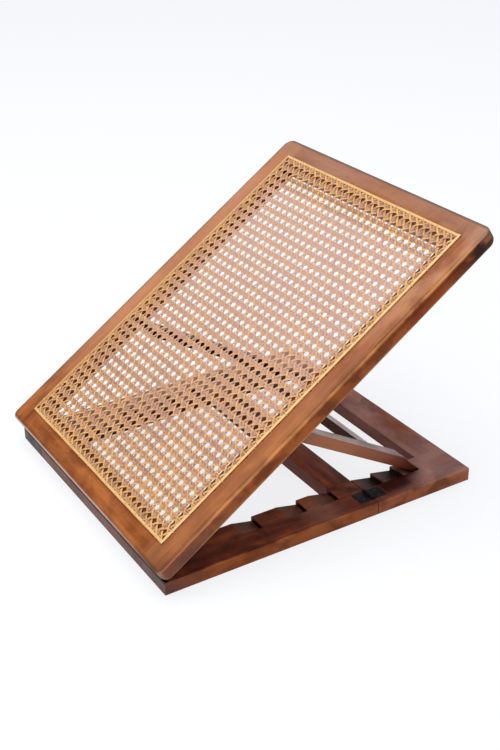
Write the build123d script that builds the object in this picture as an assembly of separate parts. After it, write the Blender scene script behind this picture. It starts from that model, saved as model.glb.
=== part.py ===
from build123d import *
import math
import os

# A folding caned rest. Millimetres, X across, Y from the hinged front edge to the back, Z up.

# Base rails
base_thickness = 17.1
front_section_length = 291.0
rear_section_length = 142.0
section_gap = 1.0
side_rail_width = 58.3
front_rail_width = 48.0
cross_rail_width = 35.0
rear_rail_width = 41.0
base_edge_radius = 1.2

# Ratchet notches in the side rails: a ramp down towards the back, then an upright wall
notch_side_clearance = 4.3
notch_depth = 6.2
front_ramp_length = 28.0
first_wall = 146.5
second_wall = 210.0
rear_wall_spacing = (30.0, 30.5, 27.5)

# Panel frame
panel_thickness = 21.5
panel_front_overhang = 0.5
stile_width = 41.8
top_rail_width = 41.0
bottom_rail_width = 44.0
top_corner_radius = 13.0
bottom_corner_radius = 9.0
panel_top_radius = 3.2
panel_bottom_radius = 8.0

# Cane: openings and holes at half-inch spacing across, a little more along
cane_columns = 28
cane_rows = 37
cane_column_pitch = 12.7
cane_row_pitch = 12.85
end_row_inset = 10.2
binder_bottom_margin = 28.0
binder_top_margin = 27.0
binder_side_margin = 31.0
cane_hole_diameter = 4.5
cane_thickness = 1.6
binder_width = 6.0
binder_thickness = 2.2
cane_ply = 2
net_gap_share = 0.6

# Prop
pivot_along_panel = 204.0
pivot_height = 10.5
prop_reach = 249.0
strut_width = 24.4
strut_overhang = 2.4
strut_depth = 14.3
beak_length = 28.0
beak_drop = 9.2
strut_edge_radius = 1.0
cross_bar_start = 155.4
cross_bar_width = 18.0
cross_bar_depth = 11.5

# Pivot screws and washers
pivot_diameter = 5.0
pivot_bite = 24.0
pivot_head_diameter = 10.5
pivot_head_height = 3.2
washer_diameter = 13.0
washer_thickness = 1.4
slot_width = 0.9
slot_depth = 1.0

# Butt hinges between panel and base
panel_hinge_offset = 24.0
panel_hinge_length = 32.0
panel_hinge_leaf = 17.0
panel_hinge_knuckle = 4.4
panel_hinge_inset = 1.5
panel_hinge_let_in = 0.8

# Butt hinges between the two base sections
fold_hinge_offset = 20.0
fold_hinge_length = 21.0
fold_hinge_leaf = 20.0
fold_hinge_knuckle = 4.8
fold_axis_rise = 0.8

# Hinge stock and screws
leaf_thickness = 1.2
hinge_pin_diameter = 2.2
screw_head_diameter = 5.0
screw_shank_diameter = 2.6
screw_length = 11.5
screw_tip_length = 2.5

# Joinery and clearances
tenon_length = 24.0
tenon_thickness = 6.0
tenon_shoulder = 6.0
bar_tenon_length = 14.0
bar_tenon_thickness = 5.5
bar_tenon_shoulder = 3.0
joinery_clearance = 0.1
running_clearance = 0.05
hinge_gap = 0.3
knuckle_clearance = 0.5
foot_clearance = 0.9
prop_side_gap = 1.8

# Places worked out from the sizes above
binder_half = cane_columns * cane_column_pitch / 2
half_panel = binder_half + binder_side_margin
stile_inner = half_panel - stile_width
strut_outer = stile_inner - prop_side_gap
strut_inner = strut_outer - strut_width
rail_inner = strut_inner + strut_overhang
half_base = rail_inner + side_rail_width
half_strut = strut_depth / 2
pivot_tip = stile_inner + pivot_bite

panel_start = -panel_front_overhang
binder_start = panel_start + binder_bottom_margin
binder_end = binder_start + (cane_rows - 1) * cane_row_pitch + 2 * end_row_inset
panel_end = binder_end + binder_top_margin
bottom_rail_end = panel_start + bottom_rail_width
top_rail_start = panel_end - top_rail_width

cross_rail_start = front_section_length - cross_rail_width
rear_start = front_section_length + section_gap
base_end = rear_start + rear_section_length
rear_rail_start = base_end - rear_rail_width
front_notches = [(wall - front_ramp_length, wall) for wall in (first_wall, second_wall, cross_rail_start)]
rear_walls = [rear_start + sum(rear_wall_spacing[:count]) for count in range(len(rear_wall_spacing) + 1)]
rear_notches = list(zip(rear_walls[:-1], rear_walls[1:]))

panel_knuckle_radius = panel_hinge_knuckle / 2
fold_knuckle_radius = fold_hinge_knuckle / 2
panel_bottom = panel_knuckle_radius - panel_hinge_let_in
panel_top = panel_bottom + panel_thickness
panel_axis_y = panel_hinge_inset
panel_axis_z = base_thickness + panel_bottom
fold_axis_y = front_section_length + section_gap / 2
fold_axis_z = base_thickness + fold_axis_rise


def rest_angles():
    # The foot stands in the rearmost notch: its end clears the wall and its heel lies on the ramp
    ramp_y, wall_y = rear_notches[-1]
    wall_out = wall_y - panel_axis_y
    wall_up = base_thickness - panel_axis_z
    pivot_radius = math.hypot(pivot_along_panel, pivot_height)
    wall_radius = math.hypot(wall_out, wall_up)
    reach = prop_reach + foot_clearance
    cosine = (pivot_radius ** 2 + wall_radius ** 2 - reach ** 2) / (2 * pivot_radius * wall_radius)
    pivot_lead = math.atan2(pivot_height, pivot_along_panel)
    tilt = math.atan2(wall_up, wall_out) + math.acos(cosine) - pivot_lead
    pivot_y = panel_axis_y + pivot_radius * math.cos(tilt + pivot_lead)
    pivot_z = panel_axis_z + pivot_radius * math.sin(tilt + pivot_lead)

    ramp_length = math.hypot(wall_y - ramp_y, notch_depth)
    along = ((wall_y - ramp_y) / ramp_length, -notch_depth / ramp_length)
    from_y = ramp_y - along[1] * foot_clearance - pivot_y
    from_z = base_thickness + along[0] * foot_clearance - pivot_z
    half_b = from_y * along[0] + from_z * along[1]
    run = -half_b + math.sqrt(half_b ** 2 - from_y ** 2 - from_z ** 2 + prop_reach ** 2)
    heel_angle = math.atan2(from_z + run * along[1], from_y + run * along[0])
    swing = heel_angle + math.asin(half_strut / prop_reach)
    return math.degrees(tilt), math.degrees(swing), pivot_y, pivot_z


panel_angle, prop_angle, pivot_y, pivot_z = rest_angles()
panel_place = Pos(0, panel_axis_y, panel_axis_z) * Rot(panel_angle, 0, 0)
prop_place = Pos(0, pivot_y, pivot_z) * Rot(prop_angle, 0, 0)


def block(x0, x1, y0, y1, z0, z1):
    return Pos((x0 + x1) / 2, (y0 + y1) / 2, (z0 + z1) / 2) * Box(x1 - x0, y1 - y0, z1 - z0)


def bar_along_x(radius, x0, x1, y=0.0, z=0.0):
    return Pos((x0 + x1) / 2, y, z) * Rot(0, 90, 0) * Cylinder(radius, x1 - x0)


def profile_along_x(points, x0, x1):
    return Pos(x0, 0, 0) * extrude(Plane.YZ * make_face(Polyline(*points, close=True)), amount=x1 - x0)


def other_side(piece):
    return mirror(piece, about=Plane.YZ)


def tenon(rail_end, y0, y1, z_middle, length, thickness, shoulder, spare=0.0):
    half = thickness / 2 + spare
    return block(rail_end - spare, rail_end + length + spare,
                 y0 + shoulder - spare, y1 - shoulder + spare,
                 z_middle - half, z_middle + half)


def base_tenon(y0, y1, spare=0.0):
    return tenon(rail_inner, y0, y1, base_thickness / 2, tenon_length, tenon_thickness, tenon_shoulder, spare)


def panel_tenon(y0, y1, spare=0.0):
    middle = (panel_bottom + panel_top) / 2
    return tenon(stile_inner, y0, y1, middle, tenon_length, tenon_thickness, tenon_shoulder, spare)


def cross_member(x_end, y0, y1, z0, z1, right_tenon):
    right = block(0, x_end, y0, y1, z0, z1) + right_tenon
    return right + other_side(right)


# Screws point down from the origin, with the top of the head at Z = 0
def countersunk_screw(spare=0.0):
    head = screw_head_diameter / 2 + spare
    shank = screw_shank_diameter / 2 + spare
    slope = head - shank
    body_end = screw_length - screw_tip_length
    cone = Pos(0, 0, -slope / 2) * Cone(shank, head, slope)
    body = Pos(0, 0, -body_end / 2) * Cylinder(shank, body_end)
    tip = Pos(0, 0, -body_end - screw_tip_length / 2) * Cone(0.2 * shank, shank, screw_tip_length)
    return cone + body + tip


def slotted_screw():
    half_slot = slot_width / 2
    return countersunk_screw() - block(-screw_head_diameter, screw_head_diameter, -half_slot, half_slot,
                                       -slot_depth, slot_depth)


def knuckle_spans(length):
    third = length / 3
    outer = [(-length / 2, -third / 2 - hinge_gap / 2), (third / 2 + hinge_gap / 2, length / 2)]
    inner = [(-third / 2 + hinge_gap / 2, third / 2 - hinge_gap / 2)]
    return outer, inner


def screw_spots(length, leaf, knuckle):
    reach = (knuckle / 2 + leaf) / 2 + 0.5
    return [(-length / 4, reach), (length / 4, reach)]


# A hinge leaf has its axis on X through the origin and its plate towards +Y
def hinge_leaf(length, leaf, knuckle, plate_low, spans, screw_top, screw_flip):
    radius = knuckle / 2
    plate_high = plate_low + leaf_thickness
    clear = radius + knuckle_clearance
    plate = block(-length / 2, length / 2, clear, leaf, plate_low, plate_high)
    for x0, x1 in spans:
        plate += block(x0, x1, 0, clear, plate_low, plate_high) + bar_along_x(radius, x0, x1)
    plate -= bar_along_x(hinge_pin_diameter / 2 + running_clearance, -length, length)
    for x, y in screw_spots(length, leaf, knuckle):
        plate -= Pos(x, y, screw_top) * Rot(screw_flip, 0, 0) * countersunk_screw(running_clearance)
    return plate


def hinge_pin(length):
    return bar_along_x(hinge_pin_diameter / 2, -length / 2, length / 2)


panel_hinge_x = half_base - panel_hinge_offset
fold_hinge_x = half_base - fold_hinge_offset
panel_hinge_outer, panel_hinge_inner = knuckle_spans(panel_hinge_length)
fold_hinge_outer, fold_hinge_inner = knuckle_spans(fold_hinge_length)
panel_hinge_size = (panel_hinge_length, panel_hinge_leaf, panel_hinge_knuckle)
fold_hinge_size = (fold_hinge_length, fold_hinge_leaf, fold_hinge_knuckle)

base_leaf_low = -panel_knuckle_radius
base_leaf_top = base_leaf_low + leaf_thickness
panel_leaf_low = panel_knuckle_radius - leaf_thickness
fold_leaf_top = -fold_axis_rise
fold_leaf_low = fold_leaf_top - leaf_thickness

panel_hinge_place = Pos(panel_hinge_x, panel_axis_y, panel_axis_z)
fold_hinge_place = Pos(fold_hinge_x, fold_axis_y, fold_axis_z)
turned_forward = Rot(0, 0, 180)


def base_leaf_screws(screw):
    return [Pos(x, y, base_leaf_top) * screw for x, y in screw_spots(*panel_hinge_size)]


def panel_leaf_screws(screw):
    return [Pos(x, y, panel_leaf_low) * Rot(180, 0, 0) * screw for x, y in screw_spots(*panel_hinge_size)]


def fold_leaf_screws(screw):
    return [Pos(x, y, fold_leaf_top) * screw for x, y in screw_spots(*fold_hinge_size)]


def notch_cut(ramp_y, wall_y):
    over = base_thickness + 1
    points = [(ramp_y, over), (ramp_y, base_thickness), (wall_y, base_thickness - notch_depth), (wall_y, over)]
    return profile_along_x(points, rail_inner - 1, strut_outer + notch_side_clearance)


def side_rail(y0, y1, end_y):
    rail = block(rail_inner, half_base, y0, y1, 0, base_thickness)
    outer = rail.edges().filter_by(Axis.Y).filter_by(lambda edge: edge.center().X > half_base - 0.1)
    ends = rail.edges().filter_by(Axis.Z).filter_by(lambda edge: abs(edge.center().Y - end_y) < 0.1)
    end = ends.sort_by(Axis.X)[-1:]
    return fillet(outer + end, base_edge_radius)


# What a hinge needs cut from the wood: room for its knuckle, a bed for its leaf and holes for its screws
def hinge_seat(length, leaf, knuckle, plate_low, plate_high, screws):
    half = length / 2 + joinery_clearance
    seat = bar_along_x(knuckle / 2 + knuckle_clearance, -half - hinge_gap, half + hinge_gap)
    seat += block(-half, half, 0, leaf + joinery_clearance, plate_low, plate_high)
    for hole in screws:
        seat += hole
    return seat


def base_leaf_seat():
    screws = base_leaf_screws(countersunk_screw(running_clearance))
    return panel_hinge_place * hinge_seat(*panel_hinge_size, base_leaf_low, 0, screws)


def panel_leaf_seat():
    screws = panel_leaf_screws(countersunk_screw(running_clearance))
    return Pos(panel_hinge_x, 0, 0) * hinge_seat(*panel_hinge_size, 0, panel_knuckle_radius, screws)


def fold_leaf_seat():
    screws = fold_leaf_screws(countersunk_screw(running_clearance))
    return hinge_seat(*fold_hinge_size, fold_leaf_low, 0, screws)


def front_right_rail():
    rail = side_rail(0, front_section_length, 0)
    for ramp_y, wall_y in front_notches:
        rail -= notch_cut(ramp_y, wall_y)
    rail -= base_tenon(0, front_rail_width, joinery_clearance)
    rail -= base_tenon(cross_rail_start, front_section_length, joinery_clearance)
    rail -= fold_hinge_place * turned_forward * fold_leaf_seat()
    return rail - base_leaf_seat()


def rear_right_rail():
    rail = side_rail(rear_start, base_end, base_end)
    for ramp_y, wall_y in rear_notches:
        rail -= notch_cut(ramp_y, wall_y)
    rail -= base_tenon(rear_rail_start, base_end, joinery_clearance)
    return rail - fold_hinge_place * fold_leaf_seat()


def base_cross_member(y0, y1):
    return cross_member(rail_inner, y0, y1, 0, base_thickness, base_tenon(y0, y1))


def base_front_rail():
    seat = base_leaf_seat()
    return base_cross_member(0, front_rail_width) - seat - other_side(seat)


def cane_holes():
    hole = Cylinder(cane_hole_diameter / 2, 3 * panel_thickness)
    across = [binder_half - column * cane_column_pitch for column in range(cane_columns + 1)]
    first_row = binder_start + end_row_inset + cane_row_pitch / 2
    along = [first_row + row * cane_row_pitch for row in range(cane_rows - 1)]
    spots = [(x, y) for x in across for y in (binder_start, binder_end)]
    spots += [(x, y) for x in (-binder_half, binder_half) for y in along]
    return [(x, Pos(x, y, panel_top) * hole) for x, y in spots]


def drilled(member, x_low, x_high):
    return member - [hole for x, hole in cane_holes() if x_low < x < x_high]


def panel_outline():
    middle_y = (panel_start + panel_end) / 2
    outline = Pos(0, middle_y) * Rectangle(2 * half_panel, panel_end - panel_start)
    outline = fillet(outline.vertices().sort_by(Axis.Y)[:2], bottom_corner_radius)
    return fillet(outline.vertices().sort_by(Axis.Y)[-2:], top_corner_radius)


def panel_slab():
    slab = Pos(0, 0, panel_bottom) * extrude(panel_outline(), amount=panel_thickness)
    slab = fillet(slab.faces().sort_by(Axis.Z)[-1].edges(), panel_top_radius)
    return fillet(slab.faces().sort_by(Axis.Z)[0].edges(), panel_bottom_radius)


def panel_right_stile(slab):
    stile = slab & block(stile_inner, half_panel + 1, panel_start - 1, panel_end + 1, 0, panel_top + 1)
    stile -= panel_tenon(panel_start, bottom_rail_end, joinery_clearance)
    stile -= panel_tenon(top_rail_start, panel_end, joinery_clearance)
    stile -= bar_along_x(pivot_diameter / 2 + running_clearance, 0, pivot_tip + joinery_clearance,
                         pivot_along_panel, pivot_height)
    return drilled(stile - panel_leaf_seat(), stile_inner, half_panel)


def panel_rail(slab, y0, y1):
    seat = panel_leaf_seat()
    rail = (slab & block(-stile_inner, stile_inner, y0, y1, 0, panel_top + 1)) + panel_tenon(y0, y1)
    rail += other_side(panel_tenon(y0, y1))
    return drilled(rail - seat - other_side(seat), -half_panel, half_panel)


def octagon(x, y, half_width, half_height):
    cut = 2 - math.sqrt(2)
    corner_x = half_width * (1 - cut)
    corner_y = half_height * (1 - cut)
    points = [(half_width, -corner_y), (half_width, corner_y)]
    points += [(corner_x, half_height), (-corner_x, half_height)]
    points += [(-px, -py) for px, py in points]
    return Wire.make_polygon([(x + px, y + py) for px, py in points], close=True)


# The weave is drawn as a net, each gap standing for two by two openings of the cane
def cane_sheet():
    half = binder_half - binder_width / 2
    y0 = binder_start + binder_width / 2
    y1 = binder_end - binder_width / 2
    columns = cane_columns // cane_ply
    rows = cane_rows // cane_ply
    step_x = 2 * half / columns
    step_y = (y1 - y0) / rows
    outer = Wire.make_polygon([(-half, y0), (half, y0), (half, y1), (-half, y1)], close=True)
    gaps = [octagon(-half + (column + 0.5) * step_x, y0 + (row + 0.5) * step_y,
                    net_gap_share * step_x / 2, net_gap_share * step_y / 2)
            for column in range(columns) for row in range(rows)]
    return Pos(0, 0, panel_top) * extrude(Face(outer, gaps), amount=cane_thickness)


def binder_strip(x0, x1, y0, y1, run_axis):
    strip = block(x0, x1, y0, y1, panel_top, panel_top + binder_thickness)
    upper = strip.edges().filter_by(run_axis).filter_by(lambda edge: edge.center().Z > panel_top + 0.1)
    return fillet(upper, binder_thickness / 3)


def binder_right():
    half = binder_width / 2
    low = binder_start - half
    return binder_strip(binder_half - half, binder_half + half, low, binder_end + half, Axis.Y)


def binder_across(y):
    half = binder_width / 2
    return binder_strip(half - binder_half, binder_half - half, y - half, y + half, Axis.X)


# The pivot screw is driven from the middle of the stand outwards, into the stile
def pivot_screw_right():
    head_face = strut_inner - hinge_gap
    head_low = head_face - pivot_head_height
    shank = bar_along_x(pivot_diameter / 2, head_face, pivot_tip)
    head = bar_along_x(pivot_head_diameter / 2, head_low, head_face)
    rim = head.edges().filter_by_position(Axis.X, head_low - 0.1, head_low + 0.1)
    head = fillet(rim, 0.8 * pivot_head_height)
    slot = block(head_low - 1, head_low + slot_depth, -slot_width / 2, slot_width / 2,
                 -pivot_head_diameter, pivot_head_diameter)
    return Pos(0, pivot_along_panel, pivot_height) * (head + shank - slot)


def pivot_washer_right():
    ring = bar_along_x(washer_diameter / 2, stile_inner - washer_thickness, stile_inner)
    ring -= bar_along_x(pivot_diameter / 2 + running_clearance, 0, half_panel)
    return Pos(0, pivot_along_panel, pivot_height) * ring


def bar_tenon(spare=0.0):
    middle = half_strut - cross_bar_depth / 2
    return tenon(strut_inner, cross_bar_start, cross_bar_start + cross_bar_width, middle,
                 bar_tenon_length, bar_tenon_thickness, bar_tenon_shoulder, spare)


def strut_outline():
    beak_z = half_strut - beak_drop
    beak_y = math.sqrt(prop_reach ** 2 - beak_z ** 2)
    heel_y = math.sqrt(prop_reach ** 2 - half_strut ** 2)
    middle_z = (beak_z - half_strut) / 2
    middle_y = math.sqrt(prop_reach ** 2 - middle_z ** 2)
    top = Polyline((0, half_strut), (beak_y - beak_length, half_strut), (beak_y, beak_z))
    end = ThreePointArc((beak_y, beak_z), (middle_y, middle_z), (heel_y, -half_strut))
    bottom = Line((heel_y, -half_strut), (0, -half_strut))
    head = ThreePointArc((0, -half_strut), (-half_strut, 0), (0, half_strut))
    return make_face(top + end + bottom + head)


def prop_right_strut():
    strut = Pos(strut_inner, 0, 0) * extrude(Plane.YZ * strut_outline(), amount=strut_width)
    sides = strut.faces().sort_by(Axis.X)
    strut = fillet(sides[0].edges() + sides[-1].edges(), strut_edge_radius)
    strut -= bar_along_x(pivot_diameter / 2 + running_clearance, 0, half_panel)
    return strut - bar_tenon(joinery_clearance)


def prop_cross_bar():
    end = cross_bar_start + cross_bar_width
    low = half_strut - cross_bar_depth
    return cross_member(strut_inner, cross_bar_start, end, low, half_strut, bar_tenon())


def both_sides(name, right, pieces):
    pieces[name.format("right")] = right
    pieces[name.format("left")] = other_side(right)


def base_pieces():
    pieces = {}
    both_sides("front_{}_rail", front_right_rail(), pieces)
    both_sides("rear_{}_rail", rear_right_rail(), pieces)
    pieces["base_front_rail"] = base_front_rail()
    pieces["base_cross_rail"] = base_cross_member(cross_rail_start, front_section_length)
    pieces["base_rear_rail"] = base_cross_member(rear_rail_start, base_end)
    return pieces


def panel_pieces():
    slab = panel_slab()
    flat = {}
    both_sides("panel_{}_stile", panel_right_stile(slab), flat)
    flat["panel_bottom_rail"] = panel_rail(slab, panel_start, bottom_rail_end)
    flat["panel_top_rail"] = panel_rail(slab, top_rail_start, panel_end)
    flat["cane_sheet"] = cane_sheet()
    both_sides("binder_{}", binder_right(), flat)
    flat["binder_bottom"] = binder_across(binder_start)
    flat["binder_top"] = binder_across(binder_end)
    both_sides("pivot_screw_{}", pivot_screw_right(), flat)
    both_sides("pivot_washer_{}", pivot_washer_right(), flat)
    return {name: panel_place * piece for name, piece in flat.items()}


def prop_pieces():
    flat = {}
    both_sides("prop_{}_strut", prop_right_strut(), flat)
    flat["prop_cross_bar"] = prop_cross_bar()
    return {name: prop_place * piece for name, piece in flat.items()}


def hinge_pieces():
    pieces = {}
    tilt = Rot(panel_angle, 0, 0)
    base_leaf = hinge_leaf(*panel_hinge_size, base_leaf_low, panel_hinge_outer, base_leaf_top, 0)
    panel_leaf = hinge_leaf(*panel_hinge_size, panel_leaf_low, panel_hinge_inner, panel_leaf_low, 180)
    front_leaf = hinge_leaf(*fold_hinge_size, fold_leaf_low, fold_hinge_outer, fold_leaf_top, 0)
    rear_leaf = hinge_leaf(*fold_hinge_size, fold_leaf_low, fold_hinge_inner, fold_leaf_top, 0)
    both_sides("panel_hinge_{}_base_leaf", panel_hinge_place * base_leaf, pieces)
    both_sides("panel_hinge_{}_panel_leaf", panel_hinge_place * tilt * panel_leaf, pieces)
    both_sides("panel_hinge_{}_pin", panel_hinge_place * hinge_pin(panel_hinge_length), pieces)
    both_sides("fold_hinge_{}_front_leaf", fold_hinge_place * turned_forward * front_leaf, pieces)
    both_sides("fold_hinge_{}_rear_leaf", fold_hinge_place * rear_leaf, pieces)
    both_sides("fold_hinge_{}_pin", fold_hinge_place * hinge_pin(fold_hinge_length), pieces)
    return pieces


def screw_group(place, screws):
    right = [place * screw for screw in screws]
    return Compound(right + [other_side(screw) for screw in right])


def screw_pieces():
    screw = slotted_screw()
    tilt = Rot(panel_angle, 0, 0)
    return {
        "panel_hinge_base_screws": screw_group(panel_hinge_place, base_leaf_screws(screw)),
        "panel_hinge_panel_screws": screw_group(panel_hinge_place * tilt, panel_leaf_screws(screw)),
        "fold_hinge_front_screws": screw_group(fold_hinge_place * turned_forward, fold_leaf_screws(screw)),
        "fold_hinge_rear_screws": screw_group(fold_hinge_place, fold_leaf_screws(screw)),
    }


# The origin is under the middle of the whole stand, on the surface that it stands on
def centred(pieces):
    boxes = [piece.bounding_box() for piece in pieces.values()]
    middle_y = (min(box.min.Y for box in boxes) + max(box.max.Y for box in boxes)) / 2
    return {name: Pos(0, -middle_y, 0) * piece for name, piece in pieces.items()}, middle_y


everything = {**base_pieces(), **panel_pieces(), **prop_pieces(), **hinge_pieces(), **screw_pieces()}
stand, middle_y = centred(everything)
os.makedirs("parts", exist_ok=True)
for name, piece in stand.items():
    export_step(piece, f"parts/{name}.step")

print("panel axis", panel_axis_y - middle_y, panel_axis_z, "tilt", panel_angle)
print("prop axis", pivot_y - middle_y, pivot_z, "swing to fold", panel_angle - prop_angle)
print("fold axis", fold_axis_y - middle_y, fold_axis_z, "middle", middle_y)
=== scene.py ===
import math
import random

import bpy
from mathutils import Matrix, Vector


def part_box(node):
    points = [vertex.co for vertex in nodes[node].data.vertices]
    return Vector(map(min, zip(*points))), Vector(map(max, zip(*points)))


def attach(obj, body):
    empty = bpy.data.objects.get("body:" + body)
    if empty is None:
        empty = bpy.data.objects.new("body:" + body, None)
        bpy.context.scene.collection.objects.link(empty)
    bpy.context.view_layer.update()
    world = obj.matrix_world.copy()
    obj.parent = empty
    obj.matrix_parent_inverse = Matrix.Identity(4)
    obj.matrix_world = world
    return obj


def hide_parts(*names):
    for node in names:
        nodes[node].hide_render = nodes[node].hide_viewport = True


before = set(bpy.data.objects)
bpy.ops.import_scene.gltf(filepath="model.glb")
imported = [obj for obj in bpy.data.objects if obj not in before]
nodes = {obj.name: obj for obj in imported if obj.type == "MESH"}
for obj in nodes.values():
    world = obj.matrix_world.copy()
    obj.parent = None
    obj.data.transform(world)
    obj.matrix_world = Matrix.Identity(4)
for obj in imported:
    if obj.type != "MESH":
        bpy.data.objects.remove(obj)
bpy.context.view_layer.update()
scene = bpy.context.scene
mm = 0.001
print("frame loaded with", len(nodes), "solids")


# sRGB hex to the linear colour that the sockets take
def hexToLinear(code):
    parts = [int(code[i:i + 2], 16) / 255 for i in (1, 3, 5)]
    return [c / 12.92 if c <= 0.04045 else ((c + 0.055) / 1.055) ** 2.4 for c in parts] + [1.0]


# adds one node: inputs are values, or the nodes and sockets to link from; the rest are its settings
def addNode(tree, kind, inputs=None, **settings):
    node = tree.nodes.new(kind)
    for name, value in settings.items():
        setattr(node, name, value)
    for key, value in (inputs or {}).items():
        if isinstance(value, bpy.types.Node):
            value = next(out for out in value.outputs if out.enabled)
        if isinstance(value, bpy.types.NodeSocket):
            tree.links.new(value, node.inputs[key])
        else:
            node.inputs[key].default_value = value
    return node


# how far a solid reaches along a direction, in metres
def reach(name, direction):
    spots = [v.co.dot(direction) for v in nodes[name].data.vertices]
    return min(spots), max(spots)


def boxMiddle(name):
    low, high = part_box(name)
    return (low + high) / 2


# the tilted panel's own axes: across, up the panel, out of its face
across = Vector((1, 0, 0))
upPanel = (boxMiddle("binder_top") - boxMiddle("binder_bottom")).normalized()
outOfPanel = across.cross(upPanel)
panelTilt = math.atan2(upPanel.z, upPanel.y)
panelBack, panelFace = reach("panel_bottom_rail", outOfPanel)
binderLow = sum(reach("binder_bottom", upPanel)) / 2
binderHigh = sum(reach("binder_top", upPanel)) / 2
binderHalf = sum(reach("binder_right", across)) / 2
caneLength = binderHigh - binderLow
panelStart = upPanel * binderLow + outOfPanel * panelFace
panelPlace = Matrix.Translation(panelStart) @ Matrix((across, upPanel, outOfPanel)).transposed().to_4x4()
panelHalf = reach("panel_right_stile", across)[1]
panelEnds = [reach("panel_bottom_rail", upPanel)[0] - binderLow, reach("panel_top_rail", upPanel)[1] - binderLow]

# the prop leans from its pivot to the middle of a strut; the base lies flat
propPivot = boxMiddle("pivot_screw_right")
strutRun = boxMiddle("prop_right_strut") - propPivot
propLean = math.atan2(strutRun.z, strutRun.y)
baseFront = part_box("base_front_rail")[0].y
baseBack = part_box("base_rear_rail")[1].y
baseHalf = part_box("front_right_rail")[1].x
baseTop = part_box("front_right_rail")[1].z
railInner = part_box("front_right_rail")[0].x
print("panel tilt", round(math.degrees(panelTilt), 2), "prop lean", round(math.degrees(propLean), 2))


# camera: where the photograph was taken from, counted from the middle of the base's front edge
camera = {"place": (1.153287, -0.467008, 0.833271), "azimuth": 58.675, "elevation": 27.917,
          "roll": -0.757, "lens": 57.725, "sensor": 36.0, "clip": (0.05, 50.0)}


def makeCamera():
    az, el, roll = (math.radians(camera[k]) for k in ("azimuth", "elevation", "roll"))
    back = Vector((math.sin(az) * math.cos(el), -math.cos(az) * math.cos(el), math.sin(el)))
    level = Vector((0, 0, 1)).cross(back).normalized()
    rise = back.cross(level)
    right = math.cos(roll) * level + math.sin(roll) * rise
    up = back.cross(right)
    data = bpy.data.cameras.new("camera")
    data.lens = camera["lens"]
    data.sensor_fit = "AUTO"
    data.sensor_width = camera["sensor"]
    data.clip_start, data.clip_end = camera["clip"]
    view = bpy.data.objects.new("camera", data)
    place = Vector(camera["place"]) + Vector((0, baseFront, 0))
    view.matrix_world = Matrix.Translation(place) @ Matrix((right, up, back)).transposed().to_4x4()
    scene.collection.objects.link(view)
    scene.camera = view


makeCamera()
print("camera placed")


# floor and light
studio = {"floorColour": "#f4f5fa", "floorSize": 14.0, "cameraWhite": 0.74, "whiteColour": "#fbfdff",
          "whiteStrength": 1.05, "skyColour": "#f2f5ff", "skyStrength": 0.62}
lamps = {
    "overhead": {"place": (-0.4, -0.5, 2.6), "aim": (0, 0, 0.1), "size": 2.2, "power": 44.0, "colour": "#fffaf2"},
    "frontFill": {"place": (1.9, -1.9, 1.3), "aim": (0, 0, 0.1), "size": 1.6, "power": 24.0, "colour": "#fff8f0"},
}


def makeFloor():
    half = studio["floorSize"] / 2
    mesh = bpy.data.meshes.new("floor")
    mesh.from_pydata([(-half, -half, 0), (half, -half, 0), (half, half, 0), (-half, half, 0)], [], [(0, 1, 2, 3)])
    floor = bpy.data.objects.new("floor", mesh)
    scene.collection.objects.link(floor)
    paper = bpy.data.materials.new("seamlessPaper")  # matt white paper, blown nearly to white for the camera
    paper.use_nodes = True
    tree = paper.node_tree
    tree.nodes.clear()
    matt = addNode(tree, "ShaderNodeBsdfDiffuse", {"Color": hexToLinear(studio["floorColour"])})
    glow = addNode(tree, "ShaderNodeEmission", {"Color": hexToLinear(studio["whiteColour"]),
                                                "Strength": studio["whiteStrength"]})
    path = addNode(tree, "ShaderNodeLightPath").outputs
    seen = addNode(tree, "ShaderNodeMath", {0: path["Is Camera Ray"], 1: path["Is Glossy Ray"]}, operation="ADD")
    seen = addNode(tree, "ShaderNodeMath", {0: seen, 1: path["Is Transmission Ray"]}, operation="ADD", use_clamp=True)
    share = addNode(tree, "ShaderNodeMath", {0: seen, 1: studio["cameraWhite"]}, operation="MULTIPLY")
    both = addNode(tree, "ShaderNodeMixShader", {0: share, 1: matt, 2: glow})
    addNode(tree, "ShaderNodeOutputMaterial", {"Surface": both})
    mesh.materials.append(paper)


def makeLight():
    world = bpy.data.worlds.new("studio")
    scene.world = world
    world.use_nodes = True
    sky = world.node_tree.nodes["Background"]
    sky.inputs["Color"].default_value = hexToLinear(studio["skyColour"])
    sky.inputs["Strength"].default_value = studio["skyStrength"]
    for name, lamp in lamps.items():
        data = bpy.data.lights.new(name, "AREA")
        data.shape = "SQUARE"
        data.size = lamp["size"]
        data.energy = lamp["power"]
        data.color = hexToLinear(lamp["colour"])[:3]
        light = bpy.data.objects.new(name, data)
        light.location = lamp["place"]
        aim = Vector(lamp["aim"]) - Vector(lamp["place"])
        light.rotation_euler = aim.to_track_quat("-Z", "Y").to_euler()
        scene.collection.objects.link(light)


makeFloor()
makeLight()
scene.view_settings.view_transform = "Standard"
print("floor and lights ready")


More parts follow.
